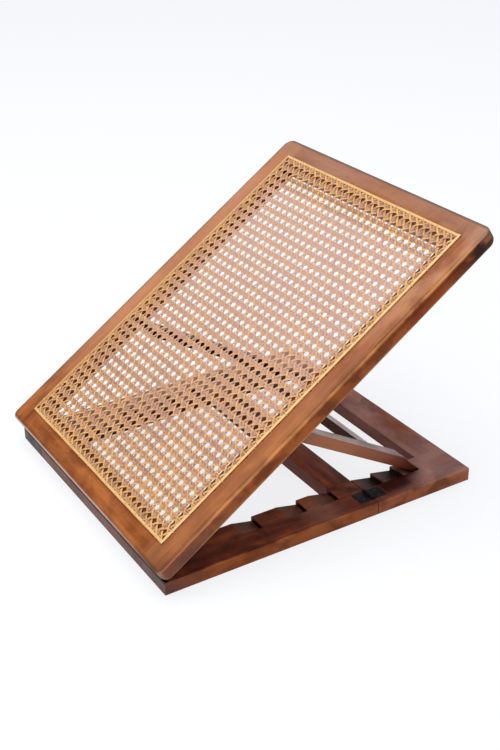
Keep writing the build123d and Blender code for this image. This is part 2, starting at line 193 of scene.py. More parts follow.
# old polished mahogany: ribbon figure along the grain, uneven stain, dark polish left on arrises, painted shade in
# corners and gaps, and a painted sheen that pales it towards the top of the panel and the back of the base. Marks
# and painted light are (colour, share, ramps): a ramp is a channel with the values where it starts and is full,
# lengths in millimetres
woods = {
    "panelMahogany": {
        "deep": "#74381a", "mid": "#945226", "light": "#ae6a36", "stain": "#6c3414", "paintedSheen": "#b3846c",
        "pore": "#4a2410", "rough": (0.32, 0.48), "stainShare": 0.6, "paintedSheenShare": 0.7, "paintedSheenSpan": (120.0, 470.0),
        "specular": 0.10, "coat": 0.0, "poreShare": 0.35,
        "marksAndPaintedLight": [
            # face: lighter patches, painted sheen on both stiles, a dark near corner, painted shade and dirt under the
            # cane and binder
            ("#b46c30", 0.22, [("mottle", 0.50, 0.38), ("along", 330.0, 200.0)]),
            ("#cf9a76", 0.40, [("across", 166.0, 174.0), ("along", 270.0, 400.0), ("paintedSheen", 0.40, 0.56)]),
            ("#d09a76", 0.40, [("across", -166.0, -174.0), ("along", 0.0, 140.0)]),
            ("#c88e64", 0.22, [("across", 160.0, 172.0), ("along", 300.0, 200.0)]),
            ("#50301e", 0.50, [("across", 168.0, 196.0), ("along", 6.0, -18.0)]),
            ("#55290f", 0.75, [("edge", 30.0, 33.5), ("outward", -1.0, -0.2)]),
            # dark polish along the outer edges
            ("#4c2410", 0.75, [("edge", 6.0, 1.5), ("mottle", 0.20, 0.50), ("across", 206.0, 200.0)]),
            ("#4c2410", 0.40, [("across", 201.0, 205.0), ("mottle", 0.36, 0.56)]),
            ("#5a3024", 0.40, [("across", 197.0, 204.0), ("along", 225.0, 248.0), ("along", 300.0, 278.0)]),
            # side faces: redder, darker in patches and at the top, greyed towards the front
            ("#8c4214", 0.85, [("sideways", 0.55, 0.9)]),
            ("#4a1e10", 0.60, [("sideways", 0.5, 0.8), ("mottle", 0.50, 0.62)]),
            ("#8a3806", 0.80, [("sideways", 0.5, 0.8), ("along", 320.0, 410.0)]),
            ("#4a1604", 0.62, [("sideways", 0.5, 0.8), ("outward", -10.0, -5.0), ("along", 250.0, 380.0)]),
            ("#5e423a", 0.65, [("sideways", 0.2, 0.6), ("outward", -2.0, -5.0), ("along", 110.0, 10.0)]),
            # worn arris of the right stile with a painted highlight on it, painted shade above it on the side, and a
            # painted highlight on the rounded arrises lower down
            ("#d0904e", 0.55, [("across", 204.8, 206.2), ("across", 208.9, 208.0), ("along", 0.0, 60.0),
                               ("along", 490.0, 450.0), ("mottle", 0.74, 0.46)]),
            ("#120705", 0.85, [("sideways", 0.5, 0.8), ("along", 425.0, 475.0), ("mottle", 0.36, 0.50)]),
            ("#bd8c76", 0.55, [("outward", -0.4, -1.0), ("sideways", 0.95, 0.8), ("sideways", 0.2, 0.5),
                               ("mottle", 0.30, 0.60), ("along", 260.0, 20.0)]),
            # top edge; painted shade on the rounded right corner, with a rubbed spot there
            ("#94705f", 0.45, [("along", 484.0, 492.0)]),
            ("#2c1107", 0.80, [("outward", -2.0, -6.0), ("along", 470.0, 486.0), ("across", 188.0, 198.0)]),
            ("#5a4a46", 0.80, [("edge", 5.0, 1.0), ("along", 500.0, 506.0)]),
            ("#b8642c", 0.60, [("across", 205.5, 207.5), ("along", 490.0, 495.0), ("along", 506.0, 502.0),
                               ("outward", -2.0, -4.0), ("outward", -10.0, -7.5)]),
            # front edge, a painted sheen above and painted shade in the gap below
            ("#cba99e", 0.75, [("endways", 0.15, 0.5), ("along", -20.0, -24.0), ("across", 190.0, 60.0)]),
            ("#140805", 0.90, [("outward", -15.0, -18.0), ("along", -16.0, -22.0)]),
        ]},
    "baseMahogany": {
        "deep": "#4a1c10", "mid": "#6b301b", "light": "#8a4826", "stain": "#42180e", "paintedSheen": "#b4877e",
        "pore": "#2a100a", "rough": (0.30, 0.46), "stainShare": 0.5, "paintedSheenShare": 0.75, "paintedSheenSpan": (250.0, 370.0),
        "specular": 0.08, "coat": 0.0, "poreShare": 0.35,
        "marksAndPaintedLight": [
            # patches
            ("#32140b", 0.45, [("mottle", 0.52, 0.64)]),
            ("#94521f", 0.30, [("mottle", 0.46, 0.36)]),
            # faces across the stand and inner sides darkened as painted shade, then outer sides, greyed at the near
            # corner
            ("#58281a", 0.60, [("endways", 0.6, 0.9), ("along", 3.0, 6.0)]),
            ("#4a241a", 0.60, [("sideways", 0.6, 0.9), ("spread", 190.0, 185.0)]),
            ("#96532a", 0.65, [("sideways", 0.6, 0.9), ("spread", 185.0, 190.0)]),
            ("#5c2c14", 0.60, [("sideways", 0.6, 0.9), ("spread", 185.0, 190.0), ("mottle", 0.48, 0.64)]),
            ("#4c3a36", 0.60, [("sideways", 0.6, 0.9), ("spread", 185.0, 190.0), ("along", 60.0, 8.0)]),
            # notches: painted shade on the walls, dull ramps, painted shadow on the ramp beneath the strut's foot
            ("#0e0605", 0.90, [("endways", 0.6, 0.8), ("spread", 172.0, 170.5), ("spread", 142.5, 143.5),
                               ("along", 12.0, 16.0), ("outward", -9.0, -7.0)]),
            ("#51423c", 0.45, [("endways", 0.12, 0.18), ("endways", 0.5, 0.4), ("spread", 172.0, 170.5)]),
            ("#140906", 0.80, [("endways", 0.12, 0.18), ("endways", 0.5, 0.4), ("spread", 172.0, 170.5),
                               ("along", 285.0, 295.0), ("outward", -1.0, -4.0)]),
            # upper faces: painted sheen, and painted shade round the right foot
            ("#c49c8a", 0.62, [("across", -143.0, -150.0), ("outward", -1.0, -0.2)]),
            ("#b48c86", 0.32, [("across", 60.0, 150.0), ("outward", -1.0, -0.2), ("along", 340.0, 395.0)]),
            ("#320904", 0.94, [("across", 152.0, 160.0), ("across", 200.0, 186.0), ("outward", -1.0, -0.2),
                               ("along", 300.0, 316.0), ("along", 376.0, 350.0)]),
            ("#320904", 0.85, [("across", 152.0, 160.0), ("across", 184.0, 170.0), ("outward", -1.0, -0.2),
                               ("along", 340.0, 352.0), ("along", 386.0, 370.0)]),
            ("#b48a7a", 0.22, [("across", 150.0, 168.0), ("outward", -1.0, -0.2), ("along", 185.0, 220.0),
                               ("along", 262.0, 232.0)]),
            # worn arris of the right rails
            ("#b8733e", 0.42, [("across", 199.0, 200.2), ("outward", -2.0, -0.8), ("along", 30.0, 60.0),
                               ("mottle", 0.60, 0.40)]),
            # front face: greyed by a painted reflection, dark under the left hinge; joint lines; painted shade in the
            # gap under the panel
            ("#74574f", 0.75, [("endways", 0.6, 0.9), ("along", 3.0, 1.5)]),
            ("#58463f", 0.60, [("endways", 0.6, 0.9), ("along", 3.0, 1.5), ("across", 20.0, 170.0)]),
            ("#353d42", 0.75, [("endways", 0.6, 0.9), ("along", 3.0, 1.5), ("across", -142.5, -143.5)]),
            ("#120806", 0.80, [("joint", 0.9, 0.4), ("along", 60.0, 40.0)]),
            ("#060302", 0.97, [("along", 5.5, 4.5), ("outward", -3.8, -3.0), ("spread", 201.2, 200.0)]),
        ]},
    "propMahogany": {
        "deep": "#6a3414", "mid": "#8e4e20", "light": "#a8642e", "stain": "#5a2a12", "paintedSheen": "#8a6858",
        "pore": "#3a1a0c", "rough": (0.26, 0.42), "stainShare": 0.5, "paintedSheenShare": 0.3, "paintedSheenSpan": (-10.0, 0.0),
        "specular": 0.4, "coat": 0.10, "poreShare": 0.3,
        "marksAndPaintedLight": [
            # sides, darker towards the foot
            ("#98501f", 0.75, [("sideways", 0.6, 0.9), ("mottle", 0.66, 0.48)]),
            ("#5a1802", 0.86, [("along", 110.0, 225.0)]),
            ("#2c0a02", 0.65, [("sideways", 0.6, 0.9), ("along", 212.0, 244.0)]),
            # left strut: painted shade under the panel
            ("#2e1008", 0.85, [("sideways", 0.6, 0.9), ("across", -130.0, -140.0)]),
            ("#2e1008", 0.85, [("across", -130.0, -140.0), ("along", 150.0, 120.0)]),
            # cross bar: painted shade on its front and back, a painted reflection on its upper face
            ("#1e0c06", 0.80, [("endways", 0.6, 0.9), ("spread", 141.0, 140.5)]),
            ("#b4a29e", 0.45, [("outward", 8.8, 9.2), ("spread", 141.0, 139.0)]),
        ]},
}
# a shaded copy of the prop's timber for the left strut under the panel, its gloss turned down so it shows no
# reflections
woods["shadedPropMahogany"] = dict(woods["propMahogany"], specular=0.06, coat=0.0)
# millimetres along the grain, across it, and how much finer detail; pores are really 0.3 mm wide and
# are drawn wider to show
grain = {"ribbon": (190.0, 8.0, 4.0), "figure": (240.0, 34.0, 2.0), "pore": (15.0, 1.1, 1.0),
         "paintedSheen": (110.0, 42.0, 3.0), "mottle": (38.0, 24.0, 3.0)}
# the grain's noise: where it starts, how rough and how bent it is, how much of the tone is broad figure, and
# the part of the noise's range over which tone, stain, painted sheen, pores and shine come in
figuring = {"shift": (0.3, 0.1, 0.2), "roughness": 0.55, "bend": 0.25, "figureShare": 0.5, "tone": (0.36, 0.64),
            "stain": (0.46, 0.70), "paintedSheen": (0.30, 0.66), "pore": (0.58, 0.72), "shine": (0.35, 0.65)}
polish = {"poreDepth": 0.12, "poreStrength": 0.3, "coatRoughness": 0.18}


# a member's lay is where its axes start, how far they lean, its half width and its two ends
def makeWood(name, look, lay, crossways):
    wood = bpy.data.materials.new(name)
    wood.use_nodes = True
    tree = wood.node_tree
    shader = tree.nodes["Principled BSDF"]
    coords = addNode(tree, "ShaderNodeTexCoord").outputs
    own = addNode(tree, "ShaderNodeMapping", {"Vector": coords["Object"], "Location": lay["start"],
                                              "Rotation": (lay["turn"], 0, 0)}, vector_type="TEXTURE")
    facing = addNode(tree, "ShaderNodeVectorRotate", {"Vector": coords["Normal"], "Angle": -lay["turn"]},
                     rotation_type="X_AXIS")
    layers = {}
    for key, (along, wide, detail) in grain.items():
        size = [along * mm if axis == (0 if crossways else 1) else wide * mm for axis in range(3)]
        laid = addNode(tree, "ShaderNodeMapping", {"Vector": own, "Location": figuring["shift"], "Scale": size},
                       vector_type="TEXTURE")
        layers[key] = addNode(tree, "ShaderNodeTexNoise", {"Vector": laid, "Scale": 1.0, "Detail": detail,
                                                           "Roughness": figuring["roughness"],
                                                           "Distortion": figuring["bend"]})
    # channels that the marks and painted light go by: places in millimetres, facings from 0 to 1
    inMm = addNode(tree, "ShaderNodeVectorMath", {0: own, "Scale": 1 / mm}, operation="SCALE")
    place = addNode(tree, "ShaderNodeSeparateXYZ", {0: inMm}).outputs
    sides = addNode(tree, "ShaderNodeSeparateXYZ", {0: addNode(tree, "ShaderNodeVectorMath", {0: facing},
                                                               operation="ABSOLUTE")}).outputs
    spread = addNode(tree, "ShaderNodeMath", {0: place[0]}, operation="ABSOLUTE")
    toSide = addNode(tree, "ShaderNodeMath", {0: lay["half"] / mm, 1: spread}, operation="SUBTRACT")
    toLow = addNode(tree, "ShaderNodeMath", {0: place[1], 1: lay["ends"][0] / mm}, operation="SUBTRACT")
    toHigh = addNode(tree, "ShaderNodeMath", {0: lay["ends"][1] / mm, 1: place[1]}, operation="SUBTRACT")
    toEnd = addNode(tree, "ShaderNodeMath", {0: toLow, 1: toHigh}, operation="MINIMUM")
    fromJoint = addNode(tree, "ShaderNodeMath", {0: spread, 1: railInner / mm}, operation="SUBTRACT")
    channels = {"across": place[0], "along": place[1], "outward": place[2], "sideways": sides[0], "endways": sides[1],
                "spread": spread, "mottle": layers["mottle"], "paintedSheen": layers["paintedSheen"],
                "joint": addNode(tree, "ShaderNodeMath", {0: fromJoint}, operation="ABSOLUTE"),
                "edge": addNode(tree, "ShaderNodeMath", {0: toSide, 1: toEnd}, operation="MINIMUM")}
    # figure, then stain, painted sheen and pores over it
    figure = addNode(tree, "ShaderNodeMath", {0: layers["figure"], 1: figuring["figureShare"]}, operation="MULTIPLY")
    tone = addNode(tree, "ShaderNodeMath", {0: layers["ribbon"], 1: 1 - figuring["figureShare"], 2: figure},
                   operation="MULTIPLY_ADD")
    colour = addNode(tree, "ShaderNodeValToRGB", {"Fac": tone})
    low, high = figuring["tone"]
    ramp = colour.color_ramp.elements
    ramp[0].position, ramp[0].color = low, hexToLinear(look["deep"])
    ramp[1].position, ramp[1].color = high, hexToLinear(look["light"])
    ramp.new((low + high) / 2).color = hexToLinear(look["mid"])
    for layer, noise in (("stain", "mottle"), ("paintedSheen", "paintedSheen"), ("pore", "pore")):
        low, high = figuring[layer]
        share = addNode(tree, "ShaderNodeMapRange", {0: layers[noise], 1: low, 2: high, 4: look[layer + "Share"]})
        # painted sheen: paler towards one end of the member, from the first of its two places to the second
        if layer == "paintedSheen":
            start, full = look["paintedSheenSpan"]
            where = addNode(tree, "ShaderNodeMapRange", {0: place[1], 1: start, 2: full})
            share = addNode(tree, "ShaderNodeMath", {0: share, 1: where}, operation="MULTIPLY")
        colour = addNode(tree, "ShaderNodeMix", {0: share, 6: colour, 7: hexToLinear(look[layer])}, data_type="RGBA")
    pored = share
    # each overlay, real mark and painted light alike, mixes over the colour where its ramps allow
    for overlayColour, most, ramps in look["marksAndPaintedLight"]:
        share = most
        for channel, start, full in ramps:
            step = addNode(tree, "ShaderNodeMapRange", {0: channels[channel], 1: start, 2: full})
            share = addNode(tree, "ShaderNodeMath", {0: share, 1: step}, operation="MULTIPLY")
        colour = addNode(tree, "ShaderNodeMix", {0: share, 6: colour, 7: hexToLinear(overlayColour)}, data_type="RGBA")
    low, high = figuring["shine"]
    shine = addNode(tree, "ShaderNodeMapRange", {0: layers["mottle"], 1: low, 2: high, 3: look["rough"][0],
                                                 4: look["rough"][1]})
    bump = addNode(tree, "ShaderNodeBump", {"Strength": polish["poreStrength"], "Distance": polish["poreDepth"] * mm,
                                            "Height": pored}, invert=True)
    for source, socket in ((colour.outputs[2], "Base Color"), (shine.outputs[0], "Roughness"),
                           (bump.outputs[0], "Normal")):
        tree.links.new(source, shader.inputs[socket])
    shader.inputs["Specular IOR Level"].default_value = look["specular"]
    shader.inputs["Coat Weight"].default_value = look["coat"]
    shader.inputs["Coat Roughness"].default_value = polish["coatRoughness"]
    return wood


# which members are of each timber, with the grain along them or across the stand. The prop's ends aren't
# worn, so its lay runs on past them
propLay = {"start": propPivot, "turn": propLean, "half": baseHalf, "ends": [-0.1, 0.3]}
members = {
    "panelMahogany": {"start": panelStart, "turn": panelTilt, "half": panelHalf, "ends": panelEnds,
                      "lengthways": ["panel_left_stile", "panel_right_stile"],
                      "crossways": ["panel_top_rail", "panel_bottom_rail"]},
    "baseMahogany": {"start": Vector((0, baseFront, baseTop)), "turn": 0.0, "half": baseHalf,
                     "ends": [0.0, baseBack - baseFront],
                     "lengthways": ["front_left_rail", "front_right_rail", "rear_left_rail", "rear_right_rail"],
                     "crossways": ["base_front_rail", "base_cross_rail", "base_rear_rail"]},
    "propMahogany": dict(propLay, lengthways=["prop_right_strut"], crossways=["prop_cross_bar"]),
    # the left strut takes the shaded copy
    "shadedPropMahogany": dict(propLay, lengthways=["prop_left_strut"], crossways=[]),
}


def dress(name, material):
    mesh = nodes[name].data
    mesh.materials.clear()
    mesh.materials.append(material)


for timber, lay in members.items():
    lay["start"] = (0.0, lay["start"].y, lay["start"].z)
    for way in ("lengthways", "crossways"):
        if not lay[way]:
            continue
        wood = makeWood(timber + way.capitalize(), woods[timber], lay, way == "crossways")
        for member in lay[way]:
            dress(member, wood)
print("timber dressed")


# blacked iron: almost black, faintly blue-green, worn to grey on the high spots
iron = {"low": "#0d1011", "high": "#2e3533", "rough": (0.38, 0.55), "mottleSize": 2.2}
# screw steel gone dark with age
steel = {"low": "#2c2a28", "high": "#5a564f", "rough": (0.32, 0.5), "mottleSize": 1.2}
# what both share: the mottle's noise, the part of its range that shows, and fine pitting
patina = {"detail": 4.0, "roughness": 0.6, "tone": (0.42, 0.72), "shine": (0.35, 0.65), "pitDepth": 0.05,
          "pitStrength": 0.25, "metallic": 0.6}


def makeMetal(name, look):
    metal = bpy.data.materials.new(name)
    metal.use_nodes = True
    tree = metal.node_tree
    shader = tree.nodes["Principled BSDF"]
    coords = addNode(tree, "ShaderNodeTexCoord").outputs
    mottle = addNode(tree, "ShaderNodeTexNoise", {"Vector": coords["Object"], "Scale": 1 / (look["mottleSize"] * mm),
                                                  "Detail": patina["detail"], "Roughness": patina["roughness"]})
    colour = addNode(tree, "ShaderNodeValToRGB", {"Fac": mottle})
    ramp = colour.color_ramp.elements
    for stop, position, tint in zip(ramp, patina["tone"], ("low", "high")):
        stop.position, stop.color = position, hexToLinear(look[tint])
    low, high = patina["shine"]
    shine = addNode(tree, "ShaderNodeMapRange", {0: mottle, 1: low, 2: high, 3: look["rough"][1], 4: look["rough"][0]})
    bump = addNode(tree, "ShaderNodeBump", {"Strength": patina["pitStrength"], "Distance": patina["pitDepth"] * mm,
                                            "Height": mottle})
    for source, socket in ((colour, "Base Color"), (shine, "Roughness"), (bump, "Normal")):
        tree.links.new(source.outputs[0], shader.inputs[socket])
    shader.inputs["Metallic"].default_value = patina["metallic"]
    return metal


blackedIron = makeMetal("blackedIron", iron)
screwSteel = makeMetal("screwSteel", steel)
for name in nodes:
    if name.endswith("_screws") or name.startswith("pivot_screw"):
        dress(name, screwSteel)
    elif name.startswith(("panel_hinge", "fold_hinge", "pivot_washer")):
        dress(name, blackedIron)
print("metal dressed")


# split rattan bark: satin, honey gold at the edges, a greyed pink-brown in the darker strands, paler and pinker in
# the middle and towards the top. Each strand has its own shade, and a darker growth node now and then. It pales
# within ramps of (axis, start, full), in millimetres in the frame, axis 0 across the stand and 2 upwards
rattan = {"low": "#9a715c", "mid": "#bf8c5f", "high": "#deab68", "nodeMark": "#80583a", "nodeSpacing": 150.0,
          "fibre": 1.6, "rough": (0.36, 0.52), "pale": "#cdaca6", "paleShare": 0.65,
          "paleWithin": [(2, 60.0, 250.0), (2, 308.0, 298.0), (0, -164.0, -142.0), (0, 172.0, 160.0)]}
bindingCane = {"low": "#bc8c50", "mid": "#d8ab68", "high": "#eac484", "nodeMark": "#a87840", "nodeSpacing": 190.0,
               "fibre": 2.2, "rough": (0.32, 0.46), "pale": "#e6c08a", "paleShare": 0.2,
               "paleWithin": [(2, 60.0, 250.0)]}
# a strand's tone is its shade with some drift along it and some fibre, less the middle of both; dark strands
# pale most. Growth nodes are staggered from strand to strand
bark = {"detail": 2.0, "drift": 0.5, "driftsPerNode": 4, "fibre": 0.4, "middle": 0.45, "tone": (0.1, 0.9),
        "paleShade": (0.3, 0.8), "paleLeast": 0.4, "stagger": 7.3, "nodeLength": 2.5, "nodeShare": 0.55,
        "shine": (0.3, 0.7)}


def makeCane(name, look):
    cane = bpy.data.materials.new(name)
    cane.use_nodes = True
    tree = cane.node_tree
    shader = tree.nodes["Principled BSDF"]
    run = addNode(tree, "ShaderNodeAttribute", attribute_name="strandRun").outputs["Fac"]
    shade = addNode(tree, "ShaderNodeAttribute", attribute_name="strandShade").outputs["Fac"]
    spot = addNode(tree, "ShaderNodeTexCoord").outputs["Object"]
    nodeSpacing = look["nodeSpacing"] * mm
    fibre = addNode(tree, "ShaderNodeTexNoise", {"Vector": spot, "Scale": 1 / (look["fibre"] * mm),
                                                 "Detail": bark["detail"]})
    strand = addNode(tree, "ShaderNodeCombineXYZ", {0: run, 1: shade})
    drift = addNode(tree, "ShaderNodeTexNoise", {"Vector": strand, "Scale": bark["driftsPerNode"] / nodeSpacing,
                                                 "Detail": bark["detail"]})
    drifted = addNode(tree, "ShaderNodeMath", {0: drift, 1: bark["drift"], 2: shade}, operation="MULTIPLY_ADD")
    tone = addNode(tree, "ShaderNodeMath", {0: fibre, 1: bark["fibre"], 2: drifted}, operation="MULTIPLY_ADD")
    tone = addNode(tree, "ShaderNodeMath", {0: tone, 1: bark["middle"]}, operation="SUBTRACT")
    colour = addNode(tree, "ShaderNodeValToRGB", {"Fac": tone})
    low, high = bark["tone"]
    ramp = colour.color_ramp.elements
    ramp[0].position, ramp[0].color = low, hexToLinear(look["low"])
    ramp[1].position, ramp[1].color = high, hexToLinear(look["high"])
    ramp.new((low + high) / 2).color = hexToLinear(look["mid"])
    place = addNode(tree, "ShaderNodeSeparateXYZ", {0: spot})
    low, high = bark["paleShade"]
    paled = addNode(tree, "ShaderNodeMapRange", {0: shade, 1: low, 2: high, 3: look["paleShare"],
                                                 4: bark["paleLeast"] * look["paleShare"]})
    for axis, start, full in look["paleWithin"]:
        within = addNode(tree, "ShaderNodeMapRange", {0: place.outputs[axis], 1: start * mm, 2: full * mm})
        paled = addNode(tree, "ShaderNodeMath", {0: paled, 1: within}, operation="MULTIPLY")
    colour = addNode(tree, "ShaderNodeMix", {0: paled, 6: colour, 7: hexToLinear(look["pale"])}, data_type="RGBA")
    shifted = addNode(tree, "ShaderNodeMath", {0: shade, 1: bark["stagger"] * nodeSpacing, 2: run},
                      operation="MULTIPLY_ADD")
    beat = addNode(tree, "ShaderNodeMath", {0: shifted, 1: nodeSpacing}, operation="FLOORED_MODULO")
    ring = addNode(tree, "ShaderNodeMapRange", {0: beat, 1: 0.0, 2: bark["nodeLength"] * mm, 3: bark["nodeShare"],
                                                4: 0.0})
    marked = addNode(tree, "ShaderNodeMix", {0: ring, 6: colour, 7: hexToLinear(look["nodeMark"])}, data_type="RGBA")
    low, high = bark["shine"]
    shine = addNode(tree, "ShaderNodeMapRange", {0: fibre, 1: low, 2: high, 3: look["rough"][0], 4: look["rough"][1]})
    tree.links.new(marked.outputs[2], shader.inputs["Base Color"])
    tree.links.new(shine.outputs[0], shader.inputs["Roughness"])
    return cane


strandCane = makeCane("splitRattan", rattan)
binderCane = makeCane("bindingRattan", bindingCane)


def newTree(name, sockets):
    tree = bpy.data.node_groups.new(name, "GeometryNodeTree")
    tree.interface.new_socket("Geometry", in_out="INPUT", socket_type="NodeSocketGeometry")
    for label, kind in sockets:
        tree.interface.new_socket(label, in_out="INPUT", socket_type="NodeSocket" + kind)
    tree.interface.new_socket("Geometry", in_out="OUTPUT", socket_type="NodeSocketGeometry")
    return tree, addNode(tree, "NodeGroupInput").outputs


# flat strand along a curve, wide side to the panel
def sweep(tree, curve, width, thickness, ringPoints):
    ring = addNode(tree, "GeometryNodeCurvePrimitiveCircle", {"Resolution": ringPoints, "Radius": 0.5})
    flat = addNode(tree, "ShaderNodeCombineXYZ", {0: width, 1: thickness, 2: 1.0})
    profile = addNode(tree, "GeometryNodeTransform", {"Geometry": ring, "Scale": flat})
    upright = addNode(tree, "GeometryNodeSetCurveNormal", {"Curve": curve}, mode="Z_UP")
    skin = addNode(tree, "GeometryNodeCurveToMesh", {"Curve": upright, "Profile Curve": profile, "Fill Caps": True})
    return addNode(tree, "GeometryNodeSetShadeSmooth", {"Geometry": skin})


def finishTree(tree, geometry, material):
    solid = addNode(tree, "GeometryNodeRealizeInstances", {"Geometry": geometry})
    painted = addNode(tree, "GeometryNodeSetMaterial", {"Geometry": solid, "Material": material})
    addNode(tree, "NodeGroupOutput", {0: painted})


# runs a tree over a path mesh and leaves one plain mesh, placed on the panel
def growPiece(name, paths, tree, values):
    source = bpy.data.objects.new(name + "Paths", paths)
    scene.collection.objects.link(source)
    grow = source.modifiers.new("grow", "NODES")
    grow.node_group = tree
    for item in tree.interface.items_tree:
        if item.in_out == "INPUT" and item.name in values:
            grow[item.identifier] = values[item.name]
    grown = source.evaluated_get(bpy.context.evaluated_depsgraph_get())
    mesh = bpy.data.meshes.new_from_object(grown)
    bpy.data.objects.remove(source)
    mesh.transform(panelPlace)
    mesh.name = name
    piece = bpy.data.objects.new(name, mesh)
    scene.collection.objects.link(piece)
    mesh.calc_loop_triangles()
    print(name, "made,", len(mesh.loop_triangles), "triangles")
    return piece


# a mesh of loose lines or points, with a value of each mark on every point
def pathMesh(name, lines, marks):
    points, edges = [], []
    values = {mark: [] for mark in marks}
    for line in lines:
        first = len(points)
        points += line["points"]
        edges += [(first + i, first + i + 1) for i in range(len(line["points"]) - 1)]
        for mark in marks:
            values[mark] += [line[mark]] * len(line["points"])
    mesh = bpy.data.meshes.new(name)
    mesh.from_pydata(points, edges, [])
    for mark in marks:
        mesh.attributes.new(mark, "FLOAT", "POINT").data.foreach_set("value", values[mark])
    return mesh


# six-way weave. Places are counted in openings: column 0 to 27 across, row 0 to 36 up the panel,
# one more each way is the line of holes under the binder. Strands settle over a span of openings from the
# holes, and wander across by so many openings, part of it along
weave = {"columns": 28, "rows": 37, "edgeAcross": 8.0, "edgeAlong": 10.2, "strandWidth": 2.9, "strandThickness": 0.75,
         "pairHalf": 1.55, "plainHeight": 0.55, "diagonalHeight": 0.85, "restHeight": 1.3, "edgeHeight": 0.55,
         "settle": (0.1, 0.7), "wander": (0.018, 0.5), "plainShade": (0.0, 0.62), "diagonalShade": (0.5, 1.0),
         "plainStep": 0.25, "diagonalStep": 0.3, "shortest": 0.9, "ringPoints": 8, "seed": 11}
pitchAcross = (2 * binderHalf - 2 * weave["edgeAcross"] * mm) / (weave["columns"] - 1)
pitchAlong = (caneLength - 2 * weave["edgeAlong"] * mm) / (weave["rows"] - 1)


def makeWeaveTree():
    tree, given = newTree("caneWeave", [("Pitch", "Vector"), ("Edge Step", "Vector"), ("Last Opening", "Vector"),
                                        ("Half Width", "Float"), ("Weave Height", "Float"), ("Rest Height", "Float"),
                                        ("Edge Height", "Float"), ("Settle From", "Float"), ("Settle", "Float"),
                                        ("Rows Lead", "Float"), ("Sample Step", "Float"), ("Strand Width", "Float"),
                                        ("Strand Thickness", "Float"), ("Material", "Material")])
    lines = addNode(tree, "GeometryNodeMeshToCurve", {"Mesh": given["Geometry"]})
    cut = addNode(tree, "GeometryNodeResampleCurve", {"Curve": lines, "Length": given["Sample Step"]}, mode="LENGTH")
    place = addNode(tree, "GeometryNodeInputPosition")
    # openings are evenly spaced, only the last step to the holes is shorter
    inside = addNode(tree, "ShaderNodeVectorMath", {0: place, 1: (0, 0, 0)}, operation="MAXIMUM")
    inside = addNode(tree, "ShaderNodeVectorMath", {0: inside, 1: given["Last Opening"]}, operation="MINIMUM")
    beyond = addNode(tree, "ShaderNodeVectorMath", {0: place, 1: inside}, operation="SUBTRACT")
    spread = addNode(tree, "ShaderNodeVectorMath", {0: inside, 1: given["Pitch"], 2: given["Edge Step"]},
                     operation="MULTIPLY_ADD")
    spread = addNode(tree, "ShaderNodeVectorMath", {0: beyond, 1: given["Edge Step"], 2: spread},
                     operation="MULTIPLY_ADD")
    spread = addNode(tree, "ShaderNodeVectorMath", {0: spread, 1: addNode(tree, "ShaderNodeCombineXYZ",
                                                                          {0: given["Half Width"]})},
                     operation="SUBTRACT")
    # strands settle down on the wood towards the holes
    low = addNode(tree, "ShaderNodeVectorMath", {0: place, 1: (1, 1, 0)}, operation="ADD")
    high = addNode(tree, "ShaderNodeVectorMath", {0: given["Last Opening"], 1: (1, 1, 0)}, operation="ADD")
    high = addNode(tree, "ShaderNodeVectorMath", {0: high, 1: place}, operation="SUBTRACT")
    near = addNode(tree, "ShaderNodeSeparateXYZ", {0: addNode(tree, "ShaderNodeVectorMath", {0: low, 1: high},
                                                              operation="MINIMUM")}).outputs
    near = addNode(tree, "ShaderNodeMath", {0: near[0], 1: near[1]}, operation="MINIMUM")
    settle = addNode(tree, "ShaderNodeMapRange", {0: near, 1: given["Settle From"], 2: given["Settle"]})
    lift = addNode(tree, "ShaderNodeMix", {0: settle, 2: given["Edge Height"], 3: given["Rest Height"]})
    # over and under: one wave for each opening passed
    counts = addNode(tree, "ShaderNodeSeparateXYZ", {0: place}).outputs
    counted = addNode(tree, "ShaderNodeMix", {0: given["Rows Lead"], 2: counts[0], 3: counts[1]})
    phase = addNode(tree, "GeometryNodeInputNamedAttribute", {"Name": "wavePhase"})
    turn = addNode(tree, "ShaderNodeMath", {0: counted, 1: 2 * math.pi, 2: phase}, operation="MULTIPLY_ADD")
    wave = addNode(tree, "ShaderNodeMath", {0: addNode(tree, "ShaderNodeMath", {0: turn}, operation="SINE"),
                                            1: given["Weave Height"]}, operation="MULTIPLY")
    height = addNode(tree, "ShaderNodeMath", {0: wave, 1: settle, 2: lift}, operation="MULTIPLY_ADD")
    level = addNode(tree, "ShaderNodeVectorMath", {0: spread, 1: addNode(tree, "ShaderNodeCombineXYZ", {2: height})},
                    operation="ADD")
    laid = addNode(tree, "GeometryNodeSetPosition", {"Geometry": cut, "Position": level})
    length = addNode(tree, "GeometryNodeSplineParameter").outputs["Length"]
    run = addNode(tree, "GeometryNodeStoreNamedAttribute", {"Geometry": laid, "Name": "strandRun", "Value": length})
    strands = sweep(tree, run, given["Strand Width"], given["Strand Thickness"], weave["ringPoints"])
    finishTree(tree, strands, given["Material"])
    return tree


